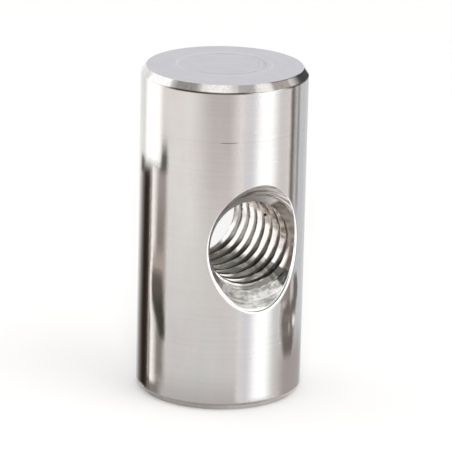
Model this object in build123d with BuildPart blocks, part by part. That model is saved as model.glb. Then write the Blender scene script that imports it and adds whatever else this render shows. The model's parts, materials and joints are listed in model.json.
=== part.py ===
from build123d import *
import os

os.makedirs("parts", exist_ok=True)

# Barrel nut (cross dowel): a turned round bar with a tapped hole straight across
# its middle.  The barrel stands on one end: +Z runs up its axis and the origin is
# the centre of the lower end.  The tapped hole runs along Y.

# Driving dimensions, in millimetres
barrel_diameter = 10.0  # turned outside
barrel_length = 20.0  # end face to end face
end_chamfer_width = 0.32  # taken off the end face, measured towards the axis
end_chamfer_height = 0.45  # taken off the barrel's side, measured along the axis
end_edge_round = 0.06  # soft edge on both sides of each end chamfer

thread_diameter = 6.0  # M6 coarse, the outside of the mating screw
thread_pitch = 1.0
hole_height = 10.0  # thread axis above the lower end

front_countersink_diameter = 7.8  # at the plane that touches the barrel's side
back_countersink_diameter = 8.5  # the far mouth is cut a little deeper
countersink_angle = 90.0  # full angle of both cones
rim_break = 0.1  # rounding where each countersink runs out on the barrel

# Values that follow from them
barrel_radius = barrel_diameter / 2
bore_radius = (thread_diameter - thread_pitch) / 2  # tapping hole, the thread's crests

# The turned blank: its half section is revolved about the barrel's axis
with BuildPart() as barrel_nut:
    with BuildSketch(Plane.XZ) as half_section:
        with BuildLine():
            Polyline(
                (0, 0),
                (barrel_radius - end_chamfer_width, 0),
                (barrel_radius, end_chamfer_height),
                (barrel_radius, barrel_length - end_chamfer_height),
                (barrel_radius - end_chamfer_width, barrel_length),
                (0, barrel_length),
                close=True,
            )
        make_face()
        chamfer_corners = half_section.vertices().group_by(Axis.X)[1:]
        fillet([corner for group in chamfer_corners for corner in group], end_edge_round)
    revolve(axis=Axis.Z)

    # The cross hole, countersunk from both sides of the barrel: the front is -Y
    for side, diameter in ((-1, front_countersink_diameter), (1, back_countersink_diameter)):
        mouth = Plane(
            origin=(0, side * barrel_radius, hole_height),
            x_dir=(1, 0, 0),
            z_dir=(0, side, 0),
        )
        with Locations(mouth):
            CounterSinkHole(
                radius=bore_radius,
                counter_sink_radius=diameter / 2,
                counter_sink_angle=countersink_angle,
            )

    # Each mouth's saddle-shaped rim is slightly rounded
    rims = barrel_nut.edges().filter_by(GeomType.BSPLINE)
    fillet(rims, rim_break)

barrel_nut.part.label = "barrel_nut"
export_step(barrel_nut.part, "parts/barrel_nut.step")
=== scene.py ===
import json
import math

import bpy
import numpy as np
from mathutils import Matrix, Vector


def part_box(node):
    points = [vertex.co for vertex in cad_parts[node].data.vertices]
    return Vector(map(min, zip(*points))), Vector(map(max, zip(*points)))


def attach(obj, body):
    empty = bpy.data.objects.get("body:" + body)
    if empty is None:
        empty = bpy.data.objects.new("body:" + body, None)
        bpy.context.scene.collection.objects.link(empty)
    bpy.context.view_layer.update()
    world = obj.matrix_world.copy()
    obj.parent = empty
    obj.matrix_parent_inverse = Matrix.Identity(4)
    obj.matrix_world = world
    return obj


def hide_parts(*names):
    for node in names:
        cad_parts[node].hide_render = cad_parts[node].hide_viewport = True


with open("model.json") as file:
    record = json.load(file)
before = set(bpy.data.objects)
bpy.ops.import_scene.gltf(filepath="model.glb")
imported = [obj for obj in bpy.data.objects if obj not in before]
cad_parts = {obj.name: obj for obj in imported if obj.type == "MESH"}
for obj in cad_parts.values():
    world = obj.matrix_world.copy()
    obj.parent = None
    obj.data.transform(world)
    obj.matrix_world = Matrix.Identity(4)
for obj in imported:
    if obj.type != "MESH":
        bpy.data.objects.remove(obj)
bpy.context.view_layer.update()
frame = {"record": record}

mm = 0.001  # shapes are worked out in millimetres and stored in metres

# the nut stands on the origin; the front mouth of its cross hole faces -Y.  On the barrel a turn is the
# angle from -Y towards +X.  In the hole a turn is the angle from +X towards +Z, about the hole's axis,
# and along is the distance from the barrel's axis, positive towards the front mouth
cadLow, cadHigh = (np.array(corner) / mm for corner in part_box("barrel_nut"))
mounts = {mount["name"]: mount for mount in frame["record"]["mounts"]}

nut = {
    "radius": mounts["barrel"]["dims"]["r_mm"],
    "length": cadHigh[2] - cadLow[2],
    "chamferWidth": 0.32,  # off the end face
    "chamferHeight": 0.45,  # off the barrel's side
    "edgeRounds": (0.12, 0.06),  # each chamfer's edge on the barrel, and its edge on the face
    "holeHeight": mounts["thread"]["pos_m"][2] / mm,
    "crestRadius": mounts["thread"]["dims"]["r_mm"] + 0.06,  # the tap cuts the crests a little wide
    "rootRadius": 3.0,
    "pitch": 1.0,
    "flankAngle": 60,  # degrees between a flank and the hole's axis
    "crestFlat": 0.33,
    "threadPhase": 0.54,  # where along the hole the crest stands, in pitches
    "runOut": 0.25,  # length over which the thread fades away before a rim
    "frontSink": 3.9,  # radius of the front cone at the plane that touches the barrel
    "backSink": 4.25,
    "rimRound": (0.03, 0.21),  # each mouth's edge is broken less at the top than at the bottom
    "soften": 0.02,  # rounding of the thread's crests and of its corners on the cones
    "rootSoften": 0.03,  # and of its roots
}

mesh = {
    "topColumns": 80,
    "sideColumns": 100,
    "cornerTurn": math.radians(50.6),  # the hole's columns beyond this turn end on the barrel's ends
    "wallRows": 150,
    "rimRows": 5,
    "patchRows": 20,
    "patchCrowd": 1.35,  # above 1, these rows crowd towards the hole
    "faceRings": 10,
    "arcSteps": 4,
    "fineRows": 3001,  # of the first even cut through the hole, from which the crowded rows are chosen
    "normalStep": 1e-4,
    "placesPerMm": 1e5,  # two points that round to the same one of these places are merged
}
quadKinds = {"barrel": 0, "face": 1, "hole": 2}  # the place of each quad's material on the nut


# smooth greater of two values: the plain greater one, with the corner between them rounded over a width
def softMax(a, b, width):
    gap = np.clip(1 - np.abs(a - b) / width, 0, 1)
    return np.maximum(a, b) + gap * gap * width / 4


# countersink radius: each cone narrows by as much as it goes in from the plane that touches the barrel
def sinkRadius(along):
    return np.where(along > 0, nut["frontSink"], nut["backSink"]) - (nut["radius"] - np.abs(along))


# rim: the circle-like line where a cone of slope 1 and the barrel meet,
# along^2 + (radius cos turn)^2 = R^2 with radius = along + sink - R, solved for along
def rimCorner(turn, mouth):
    sink = nut["frontSink"] if mouth > 0 else nut["backSink"]
    shift = sink - nut["radius"]
    side = np.cos(turn) ** 2
    along = (-shift * side + np.sqrt(nut["radius"] ** 2 * (1 + side) - shift**2 * side)) / (1 + side)
    return along, along + shift


# rim rounding grows evenly from the top of each mouth to its bottom
def rimRound(turn):
    least, most = nut["rimRound"]
    return least + (most - least) * (1 - np.sin(turn)) / 2


# thread radius: from the crest, a flank climbs at 60 degrees to the hole's axis until the root stops it;
# the crest moves one pitch outwards for each turn to the left, which makes the thread right-handed
def threadRadius(turn, along):
    phase = along / nut["pitch"] - turn / (2 * math.pi) - nut["threadPhase"]
    fromCrest = np.abs((phase + 0.5) % 1 - 0.5) * nut["pitch"] - nut["crestFlat"] / 2
    climb = softMax(fromCrest * math.tan(math.radians(nut["flankAngle"])), 0 * along, nut["soften"])
    front, back = rimCorner(turn, 1)[0], rimCorner(turn, -1)[0]
    room = np.where(along > 0, front, back) - np.abs(along) - rimRound(turn)
    depth = (nut["rootRadius"] - nut["crestRadius"]) * np.clip(room / nut["runOut"], 0, 1)
    return nut["crestRadius"] + depth - softMax(depth - climb, 0 * along, nut["rootSoften"])


def wallRadius(turn, along):
    return softMax(threadRadius(turn, along), sinkRadius(along), nut["soften"])


# a point of the hole, from its turn about the hole's axis, its place along it and its radius
def holePoint(turn, along, radius):
    return np.stack([radius * np.cos(turn), -along, nut["holeHeight"] + radius * np.sin(turn)], -1)


def wallPoint(turn, along):
    return holePoint(turn, along, wallRadius(turn, along))


# rim rounding: a quadratic curve from the cone, by the sharp corner, to the barrel's side
def rimCurve(turn, t, mouth):
    along, radius = rimCorner(turn, mouth)
    step = rimRound(turn) / math.sqrt(2)
    outerRadius = radius + rimRound(turn)
    outerAlong = np.sqrt(nut["radius"] ** 2 - (outerRadius * np.cos(turn)) ** 2)
    weights = ((1 - t) ** 2, 2 * t * (1 - t), t * t)
    curveAlong = weights[0] * (along - step) + weights[1] * along + weights[2] * outerAlong
    curveRadius = weights[0] * (radius - step) + weights[1] * radius + weights[2] * outerRadius
    return curveAlong, curveRadius


def rimPoint(turn, t, mouth):
    return holePoint(turn, *rimCurve(turn, t, mouth))


# normals: the cross product of the steps that a point makes when each parameter grows a little
def gridNormals(point, u, v, *more):
    step = mesh["normalStep"]
    du = point(u + step, v, *more) - point(u - step, v, *more)
    dv = point(u, v + step, *more) - point(u, v - step, *more)
    normal = np.cross(dv, du)
    return normal / np.linalg.norm(normal, axis=-1, keepdims=True)


# columns run round the hole; their outer ends share out the four sides of the half barrel's border
def columnTurns():
    c, counts = mesh["cornerTurn"], (mesh["topColumns"], mesh["sideColumns"])
    corners = [c, math.pi - c, math.pi + c, 2 * math.pi - c, 2 * math.pi + c]
    return np.concatenate([
        np.linspace(corners[k], corners[k + 1], counts[k % 2], endpoint=False) for k in range(4)
    ])


# border of the half barrel: its upper edge, one side seam, the lower edge and the other seam
def borderPoints(low, high):
    top, side = mesh["topColumns"], mesh["sideColumns"]
    half = math.pi / 2
    turn = np.concatenate([
        np.linspace(half, -half, top, endpoint=False), np.full(side, -half),
        np.linspace(-half, half, top, endpoint=False), np.full(side, half),
    ])
    height = np.concatenate([
        np.full(top, high), np.linspace(high, low, side, endpoint=False),
        np.full(top, low), np.linspace(low, high, side, endpoint=False),
    ])
    return turn, height


# rows of the hole's wall: crowded where the wall bends, by equal shares of its length plus its bending
def wallRows(turns):
    start, end = -rimCurve(turns, 0.0, -1)[0], rimCurve(turns, 0.0, 1)[0]
    fine = start + (end - start) * np.linspace(0, 1, mesh["fineRows"])[:, None]
    rise, run = np.diff(wallRadius(turns, fine), axis=0), np.diff(fine, axis=0)
    slope = np.arctan2(rise, run)
    bend = np.abs(np.diff(slope, axis=0, prepend=slope[:1])) / 2
    share = np.concatenate([np.zeros((1, len(turns))), np.cumsum(np.hypot(rise, run) + bend, axis=0)])
    share /= share[-1]
    column = np.arange(len(turns))  # added to its shares, so that one interpolation serves every column
    wanted = np.linspace(0, 1 - 1e-9, mesh["wallRows"])[:, None] + column  # ends short of the next one
    rows = np.interp(wanted.T.ravel(), (share + column).T.ravel(), fine.T.ravel())
    rows = rows.reshape(len(turns), -1).T
    rows[0], rows[-1] = start, end
    return rows


# end profile, from the barrel's side to the axis: a straight chamfer with both corners rounded by arcs,
# then the flat face; each point is (distance from the axis, distance from the end)
def endProfile():
    corners = np.array([
        [nut["radius"], nut["chamferHeight"]],
        [nut["radius"] - nut["chamferWidth"], 0.0],
    ])
    headings = np.array([[0, -1], corners[1] - corners[0], [-1, 0]])
    headings = headings / np.linalg.norm(headings, axis=1, keepdims=True)
    points, normals = [], []
    for corner, edgeRound, into, out in zip(corners, nut["edgeRounds"], headings[:-1], headings[1:]):
        bend = math.acos(into @ out)
        setback = edgeRound * math.tan(bend / 2)
        side = out - into * math.cos(bend)
        side /= np.linalg.norm(side)
        for angle in np.linspace(0, bend, mesh["arcSteps"] + 1):
            points.append(corner - into * setback
                          + edgeRound * (into * math.sin(angle) + side * (1 - math.cos(angle))))
            heading = into * math.cos(angle) + side * math.sin(angle)
            normals.append([-heading[1], heading[0]])
    rings = np.linspace(points[-1][0], 0, mesh["faceRings"] + 1)[1:]
    points += [[ring, 0.0] for ring in rings]
    normals += [[0.0, -1.0]] * len(rings)
    return np.array(points), np.array(normals)


# quads between neighbouring rows and columns of a grid whose columns close on themselves
def gridFaces(rows, columns, first, flip):
    row, column = np.meshgrid(np.arange(rows - 1), np.arange(columns), indexing="ij")
    after = (column + 1) % columns
    quad = np.stack([row * columns + column, row * columns + after,
                     (row + 1) * columns + after, (row + 1) * columns + column], -1).reshape(-1, 4)
    return first + (quad[:, ::-1] if flip else quad)


# each grid is (points, normals, whether its faces turn round, the kind of each quad).  The hole's wall
# goes from the back rim to the front one
def holeWall(turns):
    rows = wallRows(turns)
    grid = np.broadcast_to(turns, rows.shape)
    points, normals = wallPoint(grid, rows), gridNormals(wallPoint, grid, rows)
    for row, mouth in ((0, -1), (-1, 1)):
        along, radius = rimCurve(turns, 0.0, mouth)
        points[row] = holePoint(turns, mouth * along, radius)
    return points, normals, True, np.full((len(rows) - 1, len(turns)), quadKinds["hole"])


# the half barrel round one mouth: the rounded rim, then rows that open out to the half's border
def mouthPatch(turns, mouth, border):
    t, grid = np.meshgrid(np.linspace(0, 1, mesh["rimRows"] + 1), turns, indexing="ij")
    rimPoints, rimNormals = rimPoint(grid, t, mouth), gridNormals(rimPoint, grid, t, mouth)
    rimTurn = np.arctan2(rimPoints[-1][:, 0], -rimPoints[-1][:, 1])
    spread = np.linspace(0, 1, mesh["patchRows"] + 1)[1:, None] ** mesh["patchCrowd"]
    turn = rimTurn + (border[0] - rimTurn) * spread
    height = rimPoints[-1][:, 2] + (border[1] - rimPoints[-1][:, 2]) * spread
    outward = np.stack([np.sin(turn), -np.cos(turn), 0 * turn], -1)
    patch = outward * nut["radius"]
    patch[..., 2] = height
    rimNormals[-1] = np.stack([np.sin(rimTurn), -np.cos(rimTurn), 0 * rimTurn], -1)
    points = np.concatenate([rimPoints, patch])
    normals = np.concatenate([rimNormals, outward])
    points[..., 1] *= mouth
    normals[..., 1] *= mouth
    kinds = np.full((len(points) - 1, len(turns)), quadKinds["barrel"])
    return points, normals, mouth > 0, kinds


# one end of the barrel: the end profile turned about the barrel's axis, all but its centre
def barrelEnd(profile, profileNormals, top):
    count = 2 * mesh["topColumns"]
    spin = -2 * math.pi * np.arange(count) / count
    ring, drop = profile[:-1, 0][:, None], profile[:-1, 1][:, None]
    height = nut["length"] - drop if top else drop
    points = np.stack([ring * np.cos(spin), ring * np.sin(spin), height + 0 * spin], -1)
    side = profileNormals[:-1, 0][:, None]
    up = profileNormals[:-1, 1][:, None] * (-1 if top else 1)
    normals = np.stack([side * np.cos(spin), side * np.sin(spin), up + 0 * spin], -1)
    kinds = np.full((len(points) - 1, count), quadKinds["barrel"])
    kinds[2 * mesh["arcSteps"] + 1:] = quadKinds["face"]
    return points, normals, top, kinds


# the flat face's last ring, closed by a fan to the centre
def centreFan(points, height, radius, centre, top):
    near = 0.1 / mesh["placesPerMm"]
    onRing = np.flatnonzero((np.abs(points[:, 2] - height) < near)
                            & (np.abs(np.hypot(points[:, 0], points[:, 1]) - radius) < near))
    onRing = onRing[np.argsort(np.arctan2(points[onRing, 1], points[onRing, 0]))]
    if not top:
        onRing = onRing[::-1]
    return np.stack([onRing, np.roll(onRing, -1), np.full(len(onRing), centre)], -1)


def addObject(name, data):
    made = bpy.data.objects.new(name, data)
    bpy.context.scene.collection.objects.link(made)
    return made


def buildNut(materials):
    turns = columnTurns()
    profile, profileNormals = endProfile()
    border = borderPoints(profile[0][1], nut["length"] - profile[0][1])
    grids = [holeWall(turns)]
    grids += [mouthPatch(turns, mouth, border) for mouth in (1, -1)]
    grids += [barrelEnd(profile, profileNormals, top) for top in (False, True)]

    starts = np.cumsum([0] + [grid[0].shape[0] * grid[0].shape[1] for grid in grids])
    points = np.concatenate([grid[0].reshape(-1, 3) for grid in grids])
    normals = np.concatenate([grid[1].reshape(-1, 3) for grid in grids])
    faces = np.concatenate([
        gridFaces(*grid[0].shape[:2], start, grid[2]) for grid, start in zip(grids, starts)
    ])
    kinds = np.concatenate([grid[3].ravel() for grid in grids])

    # the grids share their border points, so equal places become one vertex
    key = np.round(points * mesh["placesPerMm"]).astype(np.int64)
    _, kept, index = np.unique(key, axis=0, return_index=True, return_inverse=True)
    points, normals = points[kept], normals[kept]
    faces = index.ravel()[faces]

    lastRing = profile[-2][0]
    fans = np.concatenate([
        centreFan(points, nut["length"] * top, lastRing, len(points) + top, bool(top)) for top in (0, 1)
    ])
    points = np.concatenate([points, [[0, 0, 0], [0, 0, nut["length"]]]])
    normals = np.concatenate([normals, [[0, 0, -1], [0, 0, 1]]])
    kinds = np.concatenate([kinds, np.full(len(fans), quadKinds["face"])])

    data = bpy.data.meshes.new("barrel_nut_turned")
    data.from_pydata((points * mm).tolist(), [], faces.tolist() + fans.tolist())
    for material in materials:
        data.materials.append(material)
    data.polygons.foreach_set("material_index", kinds.astype(np.int32))
    data.polygons.foreach_set("use_smooth", np.ones(len(data.polygons), bool))
    data.normals_split_custom_set_from_vertices(normals.tolist())
    data.update()
    return addObject("barrel_nut_turned", data)


# a socket that can be used in sums: each operator adds its Math node and hands back the node's output
class Wire:
    def __init__(self, tree, socket=None):
        self.tree, self.socket = tree, socket

    def node(self, kind, settings=(), inputs=(), output=0):
        made = self.tree.nodes.new(kind)
        for name, value in dict(settings).items():
            setattr(made, name, value)
        for name, value in dict(inputs).items():
            if isinstance(value, Wire):
                self.tree.links.new(value.socket, made.inputs[name])
            else:
                made.inputs[name].default_value = value
        return Wire(self.tree, made.outputs[output])

    def math(self, operation, *values):
        return self.node("ShaderNodeMath", {"operation": operation}, dict(enumerate(values)))

    def __add__(self, other):
        return self.math("ADD", self, other)

    def __sub__(self, other):
        return self.math("SUBTRACT", self, other)

    def __rsub__(self, other):
        return self.math("SUBTRACT", other, self)

    def __mul__(self, other):
        return self.math("MULTIPLY", self, other)

    __radd__ = __add__
    __rmul__ = __mul__


# rises smoothly from 0 to 1 while the value goes from low to high
def ease(value, low, high):
    return value.node("ShaderNodeMapRange", {"interpolation_type": "SMOOTHSTEP"},
                      {"Value": value, "From Min": low, "From Max": high})


# 1 within half a width of the middle, fading to 0 over the soft distance beyond it
def band(value, middle, half, soft):
    return 1 - ease(value.math("ABSOLUTE", value - middle), half, half + soft)


# a pattern's share of a colour: it grows from none at the low level to its strength at the high one
def patternShade(pattern, low, high, strength):
    return ease(pattern, low, high) * strength


def mixColour(wire, factor, first, second):
    colours = [colour if isinstance(colour, Wire) else (*colour, 1) for colour in (first, second)]
    return wire.node("ShaderNodeMix", {"data_type": "RGBA"}, {0: factor, 6: colours[0], 7: colours[1]}, 2)


# the first colour where a pattern is below both levels, and the second where it is above them
def patterned(pattern, first, second, levels):
    return mixColour(pattern, ease(pattern, *levels), first, second)


def awayFrom(place, spot):
    return place.node("ShaderNodeVectorMath", {"operation": "DISTANCE"}, {0: place, 1: spot}, "Value")


# noise between about 0 and 1 over a place stretched by three scales, in features per millimetre
def noise(place, scales, detail=2.0):
    stretched = place.node("ShaderNodeVectorMath", {"operation": "MULTIPLY"}, {0: place, 1: scales})
    return place.node("ShaderNodeTexNoise", {}, {"Vector": stretched, "Scale": 1.0, "Detail": detail})


# a metal's node tree: gives the material, its shader node, the object's place in millimetres and the
# three parts of that place
def startMetal(name, settings):
    material = bpy.data.materials.new(name)
    material.use_nodes = True
    tree = material.node_tree
    shader = tree.nodes["Principled BSDF"]
    shader.inputs["Metallic"].default_value = 1
    for socket, value in settings.items():
        shader.inputs[socket].default_value = value
    start = Wire(tree)
    place = start.node("ShaderNodeTexCoord", output="Object")
    place = place.node("ShaderNodeVectorMath", {"operation": "SCALE"}, {0: place, "Scale": 1 / mm})
    parts = [place.node("ShaderNodeSeparateXYZ", {}, {0: place}, k) for k in range(3)]
    return material, shader, place, parts


def feed(shader, socket, wire):
    wire.tree.links.new(wire.socket, shader.inputs[socket])


reliefUnit = 1e-6  # metres: the heights of surface relief are summed in this unit


def bump(height, distance):
    return height.node("ShaderNodeBump", {}, {"Strength": 1.0, "Distance": distance, "Height": height})


# turned barrel: fine lines and a slight waviness round it, faint blotches, one tool mark all the way
# round with a dark stretch in it, and a few pits.  Painted shade lies on the lower chamfer and in dark
# lines on the edges of the top chamfer, and the hole's rims have a burnished edge with a painted highlight
# low down.
# Turns are (middle, half width, soft edge) in radians.  Three numbers for a shade are the noise level where
# it starts, the level where it is full, and its strength; a single one is a strength
barrelFinish = {
    "shine": {"Roughness": 0.09, "Anisotropic": 0.6, "Anisotropic Rotation": 0.25},
    "tints": ((0.661, 0.626, 0.609), (0.648, 0.637, 0.615)),  # a warm and a cool one, in long soft patches
    "tintLevels": (0.35, 0.65),
    "tintScale": (0.8, 0.8, 0.15),  # noise features per millimetre, as every scale
    "shadow": (0.50, 0.48, 0.465),
    "lineScale": (0.12, 0.12, 9.0),  # long round the barrel and short along it
    "lineShade": (0.25, 0.75, 0.14),
    "lineBump": 0.5e-6,  # metres, as every bump
    "waveScale": (5.0, 5.0, 4.0),
    "waveBump": 1.8e-6,
    "blotchScale": (1.1, 1.1, 0.4),
    "blotchShade": (0.3, 0.75, 0.14),
    "chamferFade": 0.05,  # height over which a chamfer's scuffs begin
    "scuffScale": (5.0, 5.0, 2.5),
    "scuffShade": (0.4, 0.7, 0.55),  # by 1 less the noise, so its low places are dark
    "scuffBump": 2.2e-6,
    "mark": (0.08, 0.07, 0.065),
    "markHeight": (16.57, 0.012, 0.03),  # middle, half width and soft edge
    "markWobble": 0.06,
    "markTurns": (-0.405, 0.07, 0.05),  # its dark stretch
    "markShades": (0.07, 0.55),  # all the way round, and what the dark stretch adds
    "markBump": 0.2e-6,
    "burnish": (0.97, 0.96, 0.95),  # a burnished edge with a painted highlight, low on the rims of the hole
    "burnishDepth": (0.02, 0.002),  # below the barrel's side: full, and none
    "burnishFrom": (4.0, 5.0),  # heights over which it starts
    "burnishUpTo": (10.5, 13.0),
    "dirt": (0.39, 0.355, 0.34),  # painted shade on the lower chamfer, where the nut stands on the floor
    "dirtHeight": (0.36, 0.46),
    "dirtShade": 0.6,
    "dirtThin": (-0.06, 0.25, 0.30),  # turns where it is thinner
    "dirtThinShade": 0.25,
    "crust": (0.10, 0.09, 0.085),  # painted contact shadow, darkest there
    "crustTurns": (-1.85, 0.25, 0.50),
    "crustShade": 0.65,
    "grime": (0.10, 0.07, 0.05),  # painted shade: dark lines on the lower and the upper edge of the top chamfer
    "grimeTurns": [(-0.68, 0.42, 0.20), (0.70, 0.28, 0.20)],  # of the lower one
    "grimeDrop": 0.01,  # it lies this far below its edge
    "grimeWidth": (0.025, 0.05),  # half width and soft edge
    "grimeWobble": 0.05,
    "grimeRimTurns": (0.42, 0.26, 0.12),
    "grimeRimDrop": (0.08, 0.02),  # none, and full, below the upper edge
    "grimeShades": (0.9, 0.6),
    "pit": (0.95, 0.94, 0.93),
    "pits": [(-0.091, 17.17), (0.193, 15.24), (0.343, 3.85), (0.467, 2.74), (0.333, 0.76)],  # turn, height
    "pitRadius": (0.025, 0.05),  # full, and none
    "pitWobble": 0.04,
    "pitShade": 0.85,
}


def turnedBarrel(finish):
    material, shader, place, (x, y, z) = startMetal("turnedBarrel", finish["shine"])
    turn = x.math("ARCTAN2", x, y * -1)
    lines = noise(place, finish["lineScale"], 3.0)
    waves = noise(place, finish["waveScale"], 2.0)
    blotch = noise(place, finish["blotchScale"], 3.0)
    scuffs = noise(place, finish["scuffScale"], 4.0)
    middle = nut["length"] / 2
    chamferStart = middle - nut["chamferHeight"]
    chamfer = ease(x.math("ABSOLUTE", z - middle), chamferStart, chamferStart + finish["chamferFade"])

    tints = patterned(noise(place, finish["tintScale"], 1.0), *finish["tints"], finish["tintLevels"])
    shade = patternShade(lines, *finish["lineShade"]) + patternShade(blotch, *finish["blotchShade"])
    shade = shade + chamfer * patternShade(1 - scuffs, *finish["scuffShade"])
    colour = mixColour(z, shade, tints, finish["shadow"])

    mark = band(z + (blotch - 0.5) * finish["markWobble"], *finish["markHeight"])
    markShade, darkShade = finish["markShades"]
    wear = mark * (band(turn, *finish["markTurns"]) * darkShade + markShade)
    colour = mixColour(z, wear, colour, finish["mark"])

    # a burnished edge with a painted highlight on the lower part of the rims' rounding
    full, none = (nut["radius"] - depth for depth in finish["burnishDepth"])
    burnish = 1 - ease(x.math("SQRT", x * x + y * y), full, none)
    burnish = burnish * ease(z, *finish["burnishFrom"]) * (1 - ease(z, *finish["burnishUpTo"]))
    colour = mixColour(z, burnish, colour, finish["burnish"])

    # painted shade low on the lower chamfer: thinner on the right, with a darker painted contact shadow on
    # the left
    low = 1 - ease(z, *finish["dirtHeight"])
    thinner = band(turn, *finish["dirtThin"]) * (finish["dirtShade"] - finish["dirtThinShade"])
    colour = mixColour(z, low * (finish["dirtShade"] - thinner), colour, finish["dirt"])
    crust = low * band(turn, *finish["crustTurns"]) * finish["crustShade"]
    colour = mixColour(z, crust, colour, finish["crust"])

    # painted shade: dark lines along the lower and the upper edge of the top chamfer
    edgeHeight = nut["length"] - nut["chamferHeight"] - finish["grimeDrop"]
    edge = band(z + (lines - 0.5) * finish["grimeWobble"], edgeHeight, *finish["grimeWidth"])
    edge = edge * sum(band(turn, *turns) for turns in finish["grimeTurns"])
    rim = ease(z, *(nut["length"] - drop for drop in finish["grimeRimDrop"]))
    rim = rim * band(turn, *finish["grimeRimTurns"])
    edgeShade, rimShade = finish["grimeShades"]
    colour = mixColour(z, edge * edgeShade + rim * rimShade, colour, finish["grime"])

    for pitTurn, pitHeight in finish["pits"]:
        spot = (math.sin(pitTurn) * nut["radius"], -math.cos(pitTurn) * nut["radius"], pitHeight)
        away = awayFrom(place, spot) + (lines - 0.5) * finish["pitWobble"]
        pit = (1 - ease(away, *finish["pitRadius"])) * finish["pitShade"]
        colour = mixColour(z, pit, colour, finish["pit"])
    feed(shader, "Base Color", colour)

    relief = (lines * finish["lineBump"] + waves * finish["waveBump"]) * (1 - chamfer)
    relief = relief - mark * finish["markBump"] + scuffs * chamfer * finish["scuffBump"]
    feed(shader, "Normal", bump(relief * (1 / reliefUnit), reliefUnit))
    return material


# faced end: fine rings left by the facing tool, and round a point beside the middle a few deeper arcs
faceFinish = {
    "shine": {"Roughness": 0.3},
    "colour": (0.551, 0.540, 0.581),
    "groove": (0.36, 0.35, 0.37),
    "ridge": (0.72, 0.71, 0.74),
    "ringsPerMm": 6.0,
    "ringShade": (0.3, 0.7, 0.10),
    "ringBump": 0.6e-6,
    "patchScale": (0.9, 0.9, 0.9),
    "patchShade": (0.3, 0.7, 0.14),
    "arcCentre": (0.13, 0.26),
    "arcs": [  # radius, half width, middle and half of its turn in degrees, depth or, below zero, height
        (2.43, 0.05, 20, 75, 0.55), (2.50, 0.04, 140, 28, 0.6), (2.86, 0.06, -165, 70, -0.45),
        (2.84, 0.04, 20, 60, -0.25), (2.05, 0.03, 60, 60, 0.25), (1.45, 0.03, -60, 120, 0.15),
    ],
    "arcEnds": (22, -8),  # degrees past its half turn where an arc is gone, and where it is still full
    "arcSoft": 0.05,
    "arcWobble": 0.12,
    "arcLevels": (0.25, 0.55),  # noise levels between which an arc breaks off
}


def facedEnd(finish):
    material, shader, place, (x, y, z) = startMetal("facedEnd", finish["shine"])
    ring = x.math("SQRT", x * x + y * y)
    rings = x.node("ShaderNodeTexNoise", {"noise_dimensions": "1D"},
                   {"W": ring * finish["ringsPerMm"], "Scale": 1.0, "Detail": 3.0})
    patches = noise(place, finish["patchScale"], 4.0)
    besideX, besideY = x - finish["arcCentre"][0], y - finish["arcCentre"][1]
    beside = x.math("SQRT", besideX * besideX + besideY * besideY)
    depth, height = 0, 0
    for radius, half, middle, halfTurn, strength in finish["arcs"]:
        middle = math.radians(middle)
        along = x.math("DIVIDE", besideX * math.sin(middle) - besideY * math.cos(middle), beside)
        ends = [math.cos(math.radians(min(halfTurn + past, 179))) for past in finish["arcEnds"]]
        arc = band(beside + (patches - 0.5) * finish["arcWobble"], radius, half, finish["arcSoft"])
        arc = arc * ease(along, *ends) * ease(patches, *finish["arcLevels"]) * abs(strength)
        if strength > 0:
            depth = depth + arc
        else:
            height = height + arc
    shade = patternShade(rings, *finish["ringShade"]) + patternShade(patches, *finish["patchShade"])
    colour = mixColour(x, shade + depth, finish["colour"], finish["groove"])
    feed(shader, "Base Color", mixColour(x, height, colour, finish["ridge"]))
    feed(shader, "Normal", bump(rings + height - depth, finish["ringBump"]))
    return material
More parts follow.
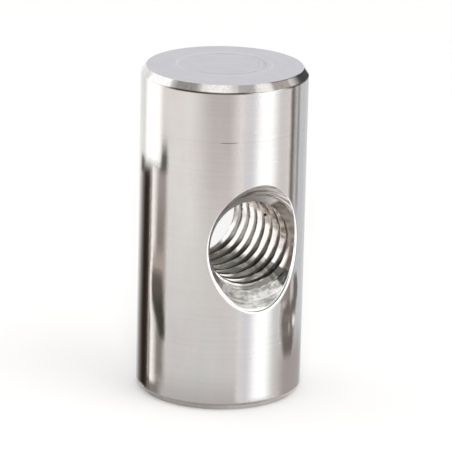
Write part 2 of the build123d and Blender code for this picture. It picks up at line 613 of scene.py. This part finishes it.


# cut hole: bright thread flanks between crests with painted shade and painted light, and countersinks with
# the marks of the cutter and painted light at their top.  Painted shade lies low on the flanks and, brown
# like dried oil, on the thread's upper right end; cutting oil has dried brown on the cone beside it and low
# on the crests.
# Turns are in degrees, as (middle, half width, soft edge) or as (start, full); a run is (start, full)
# along the hole; levels are what a pattern has where the first colour ends and where the second is full
holeFinish = {
    "roughness": (0.16, 0.36),  # of the thread and of the cones
    "blotchScale": (1.1, 2.6, 2.6),
    "flank": (0.90, 0.875, 0.855),
    "dullFlank": (0.52, 0.51, 0.47),  # painted shade in blotches low in the hole
    "dullTurns": (-46, -54),
    "dullLevels": (0.42, 0.62),
    "dullPatches": [
        # painted shade below the bright stretch of the flanks, and on their lower ends near the front mouth
        {"colour": (0.38, 0.365, 0.33), "turns": (-51.5, 4.5, 3.5), "run": (-0.3, 1.2)},
        {"colour": (0.12, 0.112, 0.10), "turns": (-45, 4.5, 2.5), "run": (0.0, 3.6)},
    ],
    "crest": ((0.46, 0.44, 0.41), (0.26, 0.215, 0.18), (-1.5, 1.0)),  # painted light on the lit crests: deep, near the front, and the run
    # painted shade on the crests
    "crestDark": (0.022, 0.018, 0.014),
    "crestTurns": (-10, 5, 29),  # where the crests get painted light
    "crestLean": 1.75,  # degrees by which that is higher for each millimetre towards the front
    "crestEdge": (0.01, 0.05),  # beyond the crest's radius: full, and none
    "crestWide": (-46, 10, 14),  # where their painted dark lines are wider
    "crestWiden": 0.05,
    "stain": ((0.52, 0.46, 0.41), (0.22, 0.19, 0.16), (0.40, 0.62)),  # painted shade in brown blotches, and their levels
    "stainCrest": (0.52, 0.46, 0.40),
    "stainEdge": (2, 18),  # turns at the middle of the hole
    "stainLean": 5.0,  # degrees by which it starts lower for each millimetre towards the front
    "stainWobble": 24,
    "scored": (0.34, 0.30, 0.28),  # painted shade: a dark line across the last flank and a darker edge by its root
    "scoredRun": (3.3, 3.5),
    "scoredTurns": (-78, -92),
    "scoredLine": (2.75, 0.02, 0.03),  # distances from the hole's axis
    "scoredEdge": (2.84, 2.90),
    "scoredShades": (0.85, 0.7),
    "pastRun": (3.70, 3.80),  # past the last crest the oil lies on the flank too
    "pastTurns": (-50, -40),
    "coneEdge": (0.01, 0.05),  # beyond the cone: full, and none
    "cone": ((0.86, 0.85, 0.84), (0.40, 0.40, 0.38), (0.40, 0.60)),  # low on the cones
    # painted light on the cones' upper part, with the cutter's rings in it
    "coneTop": ((0.93, 0.87, 0.84), (0.40, 0.35, 0.31), (0.48, 0.56)),
    "coneTopHeight": (0.2, 1.4),  # above the hole's axis
    "coneLead": (0.97, 0.94, 0.91),  # painted light on the smooth inner ring at the top
    "leadRadius": (3.02, 3.07),
    "coneOil": ((0.34, 0.30, 0.265), (0.22, 0.19, 0.16), (0.4, 0.6)),
    "oilTurns": (10, 44, 8),
    "oilEnd": (24, 38),  # higher up it lies on the smooth ring only
    "coneDark": ((0.10, 0.10, 0.095), (0.95, 0.95, 0.93), (0.60, 0.66)),  # and the scratches in it
    "darkTurns": (-46, 7, 3),
    "ringScale": (0.5, 0.5, 7.0),  # few features round the cone and many across it
    "ringRadius": (3.15, 3.3),  # where rings take over from chatter
    "ringShare": 0.6,
    "ringRelief": 0.6,
    "chatterScale": (3.2, 3.2, 4.2),
    "coneBump": 14e-6,
    "speck": (0.02, 0.02, 0.02),
    "speckPlace": (14.4, 0.78),  # turn, along
    "speckRadius": (0.07, 0.14),  # full, and none
}


def cutHole(finish):
    material, shader, place, (x, y, z) = startMetal("cutHole", {})
    up = z - nut["holeHeight"]
    reach = x.math("SQRT", x * x + up * up)
    turn = x.math("ARCTAN2", up, x) * (180 / math.pi)
    toFront = y * -1
    front = x.math("LESS_THAN", y, 0.0)
    sink = front * (nut["frontSink"] - nut["backSink"]) + (nut["backSink"] - nut["radius"])
    sink = sink + x.math("ABSOLUTE", y)
    onCone = 1 - ease(reach - sink, *finish["coneEdge"])
    blotch = noise(place, finish["blotchScale"], 4.0)
    chatter = noise(place, finish["chatterScale"], 3.0)

    # tool rings: noise stretched along the turn, so that it makes broken lines parallel to the rim
    ringPlace = x.node("ShaderNodeCombineXYZ", {}, {
        0: x * finish["ringScale"][0], 1: up * finish["ringScale"][1], 2: reach * finish["ringScale"][2],
    })
    rings = x.node("ShaderNodeTexNoise", {},
                   {"Vector": ringPlace, "Scale": 1.0, "Detail": 3.0, "Roughness": 0.6})

    # thread: flanks with painted shade low in the hole, crests with painted shade and painted light,
    # and painted shade, brown like oil, over the upper right end
    flankShade = ease(turn * -1, *(-edge for edge in finish["dullTurns"])) * ease(blotch, *finish["dullLevels"])
    colour = mixColour(x, flankShade, finish["flank"], finish["dullFlank"])
    for patch in finish["dullPatches"]:
        flankShade = band(turn, *patch["turns"]) * ease(toFront, *patch["run"])
        colour = mixColour(x, flankShade, colour, patch["colour"])
    # painted shade on the crests, with painted light where they are lit
    wide = band(turn, *finish["crestWide"]) * finish["crestWiden"]
    crest = 1 - ease(reach - wide, *(nut["crestRadius"] + edge for edge in finish["crestEdge"]))
    lit = band(turn - toFront * finish["crestLean"], *finish["crestTurns"])
    crestColour = mixColour(x, lit, finish["crestDark"], patterned(toFront, *finish["crest"]))
    # painted shade in brown blotches over the thread's upper right end, starting lower towards the front
    paintedShadeTurn = turn + toFront * finish["stainLean"] + (blotch - 0.5) * finish["stainWobble"]
    paintedShadeColour = mixColour(x, crest, patterned(blotch, *finish["stain"]), finish["stainCrest"])
    colour = mixColour(x, crest, colour, crestColour)
    colour = mixColour(x, ease(paintedShadeTurn, *finish["stainEdge"]), colour, paintedShadeColour)

    # cones: marks of the cutter, painted light with rings at the top and on the inner ring there, oil on
    # the right and a dark scratched patch below it
    right = band(turn, *finish["oilTurns"])
    top = ease(up, *finish["coneTopHeight"]) * (1 - right)
    lead = 1 - ease(reach, *finish["leadRadius"])
    oil = right * (1 - (1 - lead) * ease(turn, *finish["oilEnd"])) * front
    dark = band(turn, *finish["darkTurns"]) * front
    ringed = ease(reach, *finish["ringRadius"]) * finish["ringShare"]
    marks = (chatter + blotch) * 0.5 * (1 - ringed) + rings * ringed
    topPaintedLightColour = mixColour(x, lead, patterned(rings, *finish["coneTop"]), finish["coneLead"])
    coneColour = mixColour(x, top + right * (1 - oil), patterned(marks, *finish["cone"]), topPaintedLightColour)
    coneColour = mixColour(x, oil, coneColour, patterned(blotch, *finish["coneOil"]))
    coneColour = mixColour(x, dark, coneColour, patterned(rings, *finish["coneDark"]))

    # last turn of the thread, by the front cone: a painted shade line and a painted shade edge on its flank
    lineShade, edgeShade = finish["scoredShades"]
    scored = band(reach, *finish["scoredLine"]) * lineShade + ease(reach, *finish["scoredEdge"]) * edgeShade
    scored = scored * ease(toFront, *finish["scoredRun"])
    scored = scored * ease(turn * -1, *(-edge for edge in finish["scoredTurns"]))
    colour = mixColour(x, scored, colour, finish["scored"])
    pastLast = ease(toFront, *finish["pastRun"]) * ease(turn, *finish["pastTurns"])
    pastColour = mixColour(x, dark, finish["coneOil"][1], finish["coneDark"][0])
    colour = mixColour(x, pastLast, colour, pastColour)
    colour = mixColour(x, onCone, colour, coneColour)

    speckTurn, speckAlong = math.radians(finish["speckPlace"][0]), finish["speckPlace"][1]
    spot = holePoint(speckTurn, speckAlong, wallRadius(speckTurn, np.array(speckAlong)))
    speck = 1 - ease(awayFrom(place, spot.tolist()), *finish["speckRadius"])
    feed(shader, "Base Color", mixColour(x, speck, colour, finish["speck"]))
    threadRough, coneRough = finish["roughness"]
    feed(shader, "Roughness", onCone * (coneRough - threadRough) + threadRough)
    feed(shader, "Normal", bump((rings * finish["ringRelief"] + chatter) * onCone, finish["coneBump"]))
    return material


materials = [turnedBarrel(barrelFinish), facedEnd(faceFinish), cutHole(holeFinish)]
piece = buildNut(materials)
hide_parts("barrel_nut")
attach(piece, "root")
print("nut built:", len(piece.data.polygons), "faces")


cameraPlace = {
    "azimuth": math.radians(-27.45),  # from -Y towards +X
    "elevation": math.radians(16.85),
    "distance": 215.0,
    "roll": math.radians(1.34),
    "lens": 284.9,
    "aimRight": 0.279,
    "aimUp": 0.024,
    "clip": (0.01, 20),  # metres
}


# right, up and back of something that looks at the middle from an azimuth and an elevation
def lookAxes(azimuth, elevation):
    back = np.array([math.sin(azimuth) * math.cos(elevation),
                     -math.cos(azimuth) * math.cos(elevation), math.sin(elevation)])
    right = np.array([math.cos(azimuth), math.sin(azimuth), 0])
    return right, np.cross(back, right), back


def placeAt(right, up, back, place):
    return Matrix([[right[k], up[k], back[k], place[k]] for k in range(3)] + [[0, 0, 0, 1]])


# camera axes and place: it looks at the nut's middle, moved by the aim, and leans by the roll
def cameraFrame(settings):
    right, up, back = lookAxes(settings["azimuth"], settings["elevation"])
    roll = settings["roll"]
    leanRight = right * math.cos(roll) + up * math.sin(roll)
    leanUp = up * math.cos(roll) - right * math.sin(roll)
    aim = leanRight * settings["aimRight"] + leanUp * settings["aimUp"]
    aim = aim + np.array([0, 0, nut["length"] / 2])
    return leanRight, leanUp, back, aim + back * settings["distance"]


def addCamera(settings):
    right, up, back, place = cameraFrame(settings)
    data = bpy.data.cameras.new("camera")
    data.lens = settings["lens"]
    data.clip_start, data.clip_end = settings["clip"]
    camera = addObject("camera", data)
    camera.matrix_world = placeAt(right, up, back, place * mm)
    bpy.context.scene.camera = camera
    print("camera at", place.round(2), "mm")


addCamera(cameraPlace)


# a point of the barrel or of its upper chamfer, and the way it faces; here a turn is in degrees
# from the camera's azimuth, to the right, and the tilt is how far the surface faces upwards
def surfacePoint(turn, height, tilt):
    turn = np.radians(turn) + cameraPlace["azimuth"]
    flat = np.stack([np.sin(turn), -np.cos(turn), 0 * turn], -1)
    point = flat * nut["radius"]
    point[..., 2] = height
    tilt = np.radians(tilt)[..., None]
    return point, flat * np.cos(tilt) + np.array([0, 0, 1.0]) * np.sin(tilt)


# a point on the thread's flanks that face the front mouth, and the way it faces; the turn is in degrees
def flankPoint(turn, along):
    turn, climb = np.radians(turn), math.radians(nut["flankAngle"])
    point = holePoint(turn, along, (nut["crestRadius"] + nut["rootRadius"]) / 2)
    inward = np.stack([-np.cos(turn), 0 * turn, -np.sin(turn)], -1)
    return point, inward * math.cos(climb) - np.array([0, math.sin(climb), 0])


# the way a line of sight goes after a surface mirrors it: the sight less twice its share of the normal
def mirroredWay(point, normal):
    sight = point - cameraFrame(cameraPlace)[3]
    sight /= np.linalg.norm(sight, axis=-1, keepdims=True)
    return sight - 2 * np.sum(sight * normal, -1, keepdims=True) * normal


# where it ends: at its reach, or on a level if that is nearer
def mirroredSpot(point, normal, level, reach):
    away = mirroredWay(point, normal)
    fall = (level - point[..., 2:]) / np.minimum(away[..., 2:], -1e-9)
    return point + away * np.minimum(fall, reach)


# reflector cards: each lies where the nut mirrors it to the camera.  rows are (height on the barrel,
# first turn, last turn), or (tilt, first turn, last turn) for a card overhead.  shade is its light,
# where 1 is a white surface, and soft the shares of it that fade out at the first, last, low and high
# edges.  reach is how far from the barrel a card stands where the floor doesn't come first.  ragged
# edges are (share of the width, share of the height, features across, features up)
floorCards = [
    # the first four cards are painted shadow: dark sheets where the nut's contact shadow and shade lie on
    # the floor near it, seen only in its reflection
    {"name": "floorFront", "shade": (0.88, 0.88, 0.88), "soft": (0.1, 0.1, 0.02, 0.95), "reach": 400,
     "rows": [(0.3, -46, 17), (14, -46, 17)]},
    {"name": "contactFront", "shade": (0.66, 0.65, 0.65), "soft": (0.1, 0.1, 0.02, 0.95), "reach": 400,
     "rows": [(0.2, -56, 17), (2.6, -56, 17)]},
    {"name": "contactRing", "shade": (0.55, 0.53, 0.525), "soft": (0.01, 0.3, 0.01, 0.4), "reach": 400,
     "rows": [(0.02, -90, 72), (0.5, -90, 72)]},
    {"name": "contactLeft", "shade": (0.33, 0.31, 0.30), "soft": (0.2, 0.3, 0.01, 0.3), "reach": 400,
     "rows": [(0.3, -66, -41), (1.5, -66, -41)]},
    {"name": "warmFront", "shade": (0.73, 0.675, 0.675), "soft": (0.5, 0.3, 0.5, 0.01), "reach": 400,
     "rows": [(1.5, -25, 15), (40, -25, 15)]},
    {"name": "paleFront", "shade": (1.03, 1.02, 1.01), "soft": (0.4, 0.1, 0.01, 0.01), "reach": 400,
     "rows": [(0.4, 10, 24.5), (40, 10, 24.5)]},
    {"name": "coolFront", "shade": (0.97, 0.975, 1.03), "soft": (0.4, 0.1, 0.01, 0.01), "reach": 400,
     "rows": [(0.4, 13, 24), (40, 13, 24)]},
    {"name": "sideRight", "shade": (0.93, 0.925, 0.92), "soft": (0.2, 0.2, 0.01, 0.01), "reach": 400,
     "rows": [(0.4, 30, 54), (40, 30, 54)]},
    {"name": "stripRight", "shade": (1.62, 1.68, 1.72), "soft": (0.42, 0.42, 0.01, 0.01), "reach": 400,
     "rows": [(0.4, 18.5, 42), (14, 18.5, 43.4), (40, 18.5, 43.2)]},
    {"name": "edgeRight", "shade": (0.76, 0.775, 0.805), "soft": (0.15, 0.25, 0.01, 0.01), "reach": 400,
     "rows": [(0.4, 55, 91), (40, 55, 91)]},
    {"name": "fringeRight", "shade": (1.03, 1.00, 0.97), "soft": (0.6, 0.3, 0.1, 0.01),
     "ragged": (0.3, 0, 2, 80), "reach": 42,
     "rows": [(4.0, 47.5, 52.5), (12, 47.2, 52.2), (26, 47, 52)]},
    {"name": "darkRight", "shade": (0.25, 0.205, 0.19), "soft": (0.30, 0.5, 0.04, 0.01),
     "ragged": (0.2, 0, 2, 34), "reach": 40,
     "rows": [(2.0, 49.2, 63), (6, 49.0, 62.6), (20.5, 48.5, 62.2), (26, 48.5, 62.2)]},
    {"name": "lineRight", "shade": (0.36, 0.35, 0.335), "soft": (0.45, 0.4, 0.08, 0.01),
     "ragged": (0.25, 0, 2, 30), "reach": 40,
     "rows": [(11.3, 57.6, 65.8), (18, 57.4, 65.8), (26, 56.8, 65.2)]},
    {"name": "nearRight", "shade": (0.525, 0.485, 0.48), "soft": (0.35, 0.25, 0.02, 0.6), "reach": 12,
     "rows": [(0.3, 38.5, 84), (5.4, 38.5, 84)]},
    {"name": "blobRight", "shade": (0.225, 0.195, 0.18), "soft": (0.24, 0.15, 0.12, 0.1),
     "ragged": (0.14, 0.05, 4, 22), "reach": 12,
     "rows": [(2.4, 50, 61), (3.1, 47.6, 63.5), (3.7, 45.2, 65.5), (4.35, 43.4, 67), (5.0, 42.6, 66.5),
              (5.4, 42.4, 69), (6.0, 43.4, 70), (6.4, 58.5, 69.8), (7.0, 59.5, 69.2), (7.6, 59.4, 67.8),
              (8.3, 61, 65.5)]},
    {"name": "browRight", "shade": (0.40, 0.36, 0.345), "soft": (0.2, 0.2, 0.1, 0.1),
     "ragged": (0.15, 0.1, 3, 8), "reach": 11.9,
     "rows": [(6.1, 44, 58), (8.4, 44, 58)]},
    {"name": "streakRight", "shade": (0.84, 0.79, 0.77), "soft": (0.4, 0.4, 0.55, 0.2),
     "ragged": (0.25, 0.1, 2, 12), "reach": 11.8,
     "rows": [(5.3, 54.8, 60.7), (6.5, 55.2, 61.1), (8.4, 56.1, 61.5)]},
    {"name": "smearRight", "shade": (0.36, 0.325, 0.31), "soft": (0.15, 0.2, 0.3, 0.4),
     "ragged": (0.15, 0.3, 5, 3), "reach": 11.8,
     "rows": [(4.9, 49, 61.5), (5.65, 49, 61.5)]},
    {"name": "spotRight", "shade": (0.52, 0.48, 0.47), "soft": (0.35, 0.35, 0.3, 0.3),
     "ragged": (0.25, 0.2, 2, 4), "reach": 11.8,
     "rows": [(5.35, 45.5, 51), (6.5, 44.8, 51)]},
    {"name": "chipRight", "shade": (0.66, 0.62, 0.60), "soft": (0.4, 0.4, 0.35, 0.3),
     "ragged": (0.25, 0.2, 2, 5), "reach": 11.8,
     "rows": [(3.95, 55, 59.3), (5.25, 54.3, 59.2)]},
    {"name": "glintRight", "shade": (1.30, 1.25, 1.22), "soft": (0.3, 0.35, 0.25, 0.45),
     "ragged": (0.2, 0.1, 2, 6), "reach": 11.8,
     "rows": [(4.4, 59.6, 66.2), (5.6, 58.8, 66.4)]},
    {"name": "stripLeft", "shade": (1.8, 1.8, 1.8), "soft": (0.32, 0.3, 0.08, 0.01),
     "ragged": (0.05, 0.05, 9, 40), "reach": 14,
     "rows": [(14.2, -70.2, -42.6), (24, -70.4, -42.6)]},
    {"name": "darkLeft", "shade": (0.040, 0.028, 0.019), "soft": (0.68, 0.08, 0.02, 0.06),
     "ragged": (0.06, 0.015, 9, 60), "reach": 12,
     "rows": [(0.3, -88, -56.3), (4.5, -87.5, -56.3), (9, -85, -56.3), (14.9, -82, -56.3)]},
    {"name": "duskLeft", "shade": (0.24, 0.20, 0.175), "soft": (0.85, 0.1, 0.02, 0.05),
     "ragged": (0.25, 0, 3, 60), "reach": 11.95,
     "rows": [(0.3, -64, -53.5), (14.8, -64.2, -53.5)]},
    {"name": "greyLeft", "shade": (0.36, 0.32, 0.295), "soft": (0.1, 0.32, 0.12, 0.02),
     "ragged": (0.1, 0.01, 4, 50), "reach": 11.94,
     "rows": [(0.3, -56.6, -37.0), (6, -56.6, -37.4), (12, -56.6, -37.0), (14.8, -56.6, -38.2)]},
    {"name": "hazeLeft", "shade": (0.50, 0.46, 0.45), "soft": (0.1, 0.4, 0.85, 0.1), "reach": 11.93,
     "rows": [(9.8, -56, -37.8), (14.7, -56, -38.6)]},
    {"name": "lineLeft", "shade": (1.40, 1.36, 1.33), "soft": (0.22, 0.62, 0.03, 0.02),
     "ragged": (0.12, 0.01, 3, 50), "reach": 11.9,
     "rows": [(0.8, -57.5, -46), (4.9, -57.3, -46), (6.3, -57.6, -53), (7.8, -57.8, -52.5),
              (9.2, -57.7, -47.5), (14.7, -57.7, -46)]},
    {"name": "paleLeft", "shade": (0.62, 0.55, 0.50), "soft": (0.1, 0.2, 0.3, 0.55),
     "ragged": (0.08, 0.15, 4, 12), "reach": 11.86,
     "rows": [(7.4, -54.8, -39.4), (10.4, -54.8, -39)]},
    {"name": "blobLeft", "shade": (0.078, 0.075, 0.062), "soft": (0.12, 0.28, 0.12, 0.5),
     "ragged": (0.15, 0.05, 4, 20), "reach": 11.8,
     "rows": [(3.6, -43.5, -39.4), (4.6, -48, -38.0), (5.4, -52, -37.8), (6.2, -55.2, -38.0),
              (7.2, -57, -39.2), (8.6, -57, -41)]},
    {"name": "blobLeftTop", "shade": (0.165, 0.135, 0.125), "soft": (0.1, 0.35, 0.4, 0.4),
     "ragged": (0.15, 0.15, 4, 12), "reach": 11.78,
     "rows": [(5.8, -54.6, -38.2), (7.2, -56.5, -38.6), (8.9, -56.8, -41)]},
    {"name": "notchLeft", "shade": (0.15, 0.15, 0.145), "soft": (0.3, 0.3, 0.12, 0.6),
     "ragged": (0.14, 0.1, 4, 10), "reach": 11.7,
     "rows": [(14.0, -51, -38.0), (15.0, -48.8, -37.8), (17.0, -47.0, -39.2)]},
    {"name": "notchFarLeft", "shade": (0.17, 0.16, 0.15), "soft": (0.35, 0.4, 0.15, 0.4),
     "ragged": (0.2, 0.15, 3, 8), "reach": 11.7,
     "rows": [(13.6, -79, -61.5), (14.6, -78.5, -63), (15.3, -77, -67)]},
]
domeCards = [
    {"name": "lampFarLeft", "shade": (1.15, 1.15, 1.15), "soft": (0.05, 0.1, 0.15, 0.15), "reach": 250,
     "rows": [(27, -92, -62), (46, -92, -62)]},
    {"name": "lampLeft", "shade": (1.7, 1.7, 1.7), "soft": (0.12, 0.12, 0.15, 0.15), "reach": 250,
     "rows": [(27, -68, -38.5), (46, -68, -38.5)]},
    {"name": "greyFrontLeft", "shade": (0.46, 0.46, 0.44), "soft": (0.28, 0.25, 0.15, 0.15),
     "reach": 250, "rows": [(27, -40.5, -14.5), (46, -40.5, -14.5)]},
    {"name": "lampFront", "shade": (1.46, 1.46, 1.45), "soft": (0.4, 0.3, 0.15, 0.15), "reach": 250,
     "rows": [(27, -20, 9), (46, -20, 9)]},
    {"name": "greyFront", "shade": (0.66, 0.66, 0.66), "soft": (0.2, 0.2, 0.15, 0.15), "reach": 250,
     "rows": [(27, 8, 23), (46, 8, 23)]},
    {"name": "lampRight", "shade": (1.36, 1.36, 1.34), "soft": (0.25, 0.25, 0.15, 0.15), "reach": 250,
     "rows": [(27, 21, 36.5), (46, 21, 36.5)]},
    {"name": "greyRight", "shade": (0.62, 0.585, 0.55), "soft": (0.15, 0.15, 0.15, 0.15), "reach": 250,
     "rows": [(27, 34, 53), (46, 34, 53)]},
    {"name": "darkBehindRight", "shade": (0.085, 0.09, 0.105), "soft": (0.38, 0.12, 0.15, 0.15),
     "reach": 250, "rows": [(27, 51.5, 91), (46, 51.5, 91)]},
    {"name": "rustLow", "shade": (0.34, 0.25, 0.18), "soft": (0.1, 0.1, 0.2, 0.05), "reach": 200,
     "rows": [(5.5, -36, -8), (26, -36, -8)]},
    {"name": "darkLow", "shade": (0.12, 0.12, 0.12), "soft": (0.1, 0.15, 0.1, 0.15), "reach": 190,
     "rows": [(25, -36, -1), (32, -36, -1)]},
    {"name": "lampLowFront", "shade": (1.3, 1.3, 1.28), "soft": (0.1, 0.1, 0.1, 0.1), "reach": 200,
     "rows": [(4.5, -7, 6), (19.5, -7, 6)]},
    {"name": "duskHigh", "shade": (0.25, 0.25, 0.22), "soft": (0.1, 0.1, 0.1, 0.1), "reach": 180,
     "rows": [(17.5, 3, 30), (29.5, 3, 30)]},
    {"name": "lampLowRight", "shade": (1.5, 1.5, 1.5), "soft": (0.1, 0.1, 0.1, 0.1), "reach": 200,
     "rows": [(8, 16, 52), (24, 16, 52)]},
]
# cards that only the hole sees, one close before its front mouth and one low inside it: rows are (turn,
# first along, last along) of the flanks that mirror them, and stop is the axis and place of their plane
holeCards = [
    {"name": "glowMouth", "shade": (1.25, 1.22, 1.20), "soft": (0.05, 0.15, 0.05, 0.2),
     "stop": (1, -5.25),
     "rows": [(-16, -3.6, 3.4), (-4, -3.4, 3.0), (0, -2.6, 2.2), (6, -0.6, 1.4), (12, 0.4, 0.9)]},
    {"name": "glowInside", "shade": (1.25, 1.22, 1.20), "soft": (0.05, 0.2, 0.25, 0.1),
     "stop": (2, 7.75), "rows": [(2, -3.6, -1.5), (12, -3.4, 0.0), (34, -3.0, 0.4)], "oneSided": True},
]
cardRows, cardColumns = 150, 24
floorStep = 0.02  # from each floor card's level to the next one's


# card light: the shade, fading out to nothing towards the card's four edges
def cardMaterial(card):
    material = bpy.data.materials.new("card_" + card["name"])
    material.use_nodes = True
    tree = material.node_tree
    tree.nodes.clear()
    start = Wire(tree)
    uv = start.node("ShaderNodeUVMap", {"uv_map": "card"})
    across, up = (uv.node("ShaderNodeSeparateXYZ", {}, {0: uv}, k) for k in range(2))
    shareAcross, shareUp, *features = card.get("ragged", (0, 0))
    rough = noise(uv, (*features, 1)) if features else 0
    softFirst, softLast, softLow, softHigh = card["soft"]
    mask = 1
    sides = [(across, shareAcross, softFirst, softLast), (up, shareUp, softLow, softHigh)]
    for part, share, near, far in sides:
        mask = mask * ease(part - rough * share, 0, near) * ease(1 - part - (1 - rough) * share, 0, far)
    if card.get("oneSided"):
        mask = mask * (1 - start.node("ShaderNodeNewGeometry", output="Backfacing"))
    light = start.node("ShaderNodeEmission", {}, {"Color": (*card["shade"], 1), "Strength": 1.0})
    clear = start.node("ShaderNodeBsdfTransparent")
    mixed = start.node("ShaderNodeMixShader", {}, {0: mask, 1: clear, 2: light})
    output = tree.nodes.new("ShaderNodeOutputMaterial")
    tree.links.new(mixed.socket, output.inputs["Surface"])
    return material


# card surface: its first and last edges run through the rows, with even steps across and along it, and
# the surface that mirrors it is the barrel, the chamfer or the hole
def addCard(card, surface, level=0.0):
    rows = np.array(card["rows"], float)
    v, u = np.meshgrid(np.linspace(0, 1, cardRows), np.linspace(0, 1, cardColumns), indexing="ij")
    step = rows[0, 0] + (rows[-1, 0] - rows[0, 0]) * v
    first, last = (np.interp(step, rows[:, 0], rows[:, k]) for k in (1, 2))
    turn = first + (last - first) * u
    if surface == "hole":
        point, normal = flankPoint(step, turn)
        away = mirroredWay(point, normal)
        axis, stop = card["stop"]
        points = point + away * ((stop - point[..., axis]) / away[..., axis])[..., None]
    elif surface == "chamfer":
        points = mirroredSpot(*surfacePoint(turn, nut["length"], step), level, card["reach"])
    else:
        points = mirroredSpot(*surfacePoint(turn, step, 0 * turn), level, card["reach"])
    points = points.reshape(-1, 3)
    index = np.arange(v.size).reshape(v.shape)
    quads = np.stack([index[:-1, :-1], index[:-1, 1:], index[1:, 1:], index[1:, :-1]], -1).reshape(-1, 4)
    data = bpy.data.meshes.new("card_" + card["name"])
    data.from_pydata((points * mm).tolist(), [], quads.tolist())
    corners = np.stack([u.ravel(), v.ravel()], -1)[quads.ravel()]
    data.uv_layers.new(name="card").uv.foreach_set("vector", corners.ravel().astype(np.float32))
    data.materials.append(cardMaterial(card))
    shown = addObject("card_" + card["name"], data)
    for ray in ("camera", "diffuse", "transmission", "shadow", "volume_scatter"):
        setattr(shown, "visible_" + ray, False)


for place, card in enumerate(floorCards):
    addCard(card, "barrel", floorStep * (place + 1))
for card in domeCards:
    addCard(card, "chamfer")
for card in holeCards:
    addCard(card, "hole")
print("reflector cards:", len(floorCards) + len(domeCards) + len(holeCards))


studio = {
    "floor": {"Base Color": (0.86, 0.86, 0.86, 1), "Roughness": 0.9, "Specular IOR Level": 0.1,
              "Emission Strength": 0.085},  # the glow is added only where the floor itself is seen
    "floorReach": 3.0,  # metres from its middle to its sides
    "skyForDiffuse": 0.80,  # the sky's strength, but 1 where it is seen directly
    "lamps": [  # degrees from the camera's azimuth, elevation, distance, size, power, colour
        (62, 48, 0.45, 0.35, 0.4, (1, 1, 1)), (-110, 40, 0.45, 0.35, 0.2, (1, 1, 1)),
        (0, 25, 0.5, 0.12, 1.1, (1, 0.94, 0.88)),
    ],
}


# 1 for the rays that come from the camera, or from it by way of a mirror or of glass
def seenDirectly(start):
    seen = start.node("ShaderNodeLightPath", output="Is Camera Ray")
    for ray in ("Is Glossy Ray", "Is Transmission Ray"):
        seen = start.math("MAXIMUM", seen, start.node("ShaderNodeLightPath", output=ray))
    return seen


def addFloor(settings):
    half = settings["floorReach"]
    corners = [(-half, -half, 0), (half, -half, 0), (half, half, 0), (-half, half, 0)]
    data = bpy.data.meshes.new("floor")
    data.from_pydata(corners, [], [(0, 1, 2, 3)])
    material = bpy.data.materials.new("paleFloor")
    material.use_nodes = True
    shader = material.node_tree.nodes["Principled BSDF"]
    for socket, value in settings["floor"].items():
        shader.inputs[socket].default_value = value
    feed(shader, "Emission Color", seenDirectly(Wire(material.node_tree)))
    data.materials.append(material)
    addObject("floor", data)


def addWorld(settings):
    world = bpy.data.worlds.new("studio")
    bpy.context.scene.world = world
    world.use_nodes = True
    least = settings["skyForDiffuse"]
    strength = seenDirectly(Wire(world.node_tree)) * (1 - least) + least
    background = world.node_tree.nodes["Background"]
    background.inputs["Color"].default_value = (1, 1, 1, 1)
    world.node_tree.links.new(strength.socket, background.inputs["Strength"])


def addLamps(settings):
    for number, (azimuth, elevation, distance, size, power, colour) in enumerate(settings["lamps"]):
        azimuth = math.radians(azimuth) + cameraPlace["azimuth"]
        right, up, back = lookAxes(azimuth, math.radians(elevation))
        data = bpy.data.lights.new(f"lamp_{number}", "AREA")
        data.energy, data.size, data.color = power, size, colour
        lamp = addObject(f"lamp_{number}", data)
        lamp.matrix_world = placeAt(right, up, back, back * distance)
        lamp.visible_glossy = False


addFloor(studio)
addWorld(studio)
addLamps(studio)
bpy.context.scene.view_settings.view_transform = "Standard"
print("studio lit")
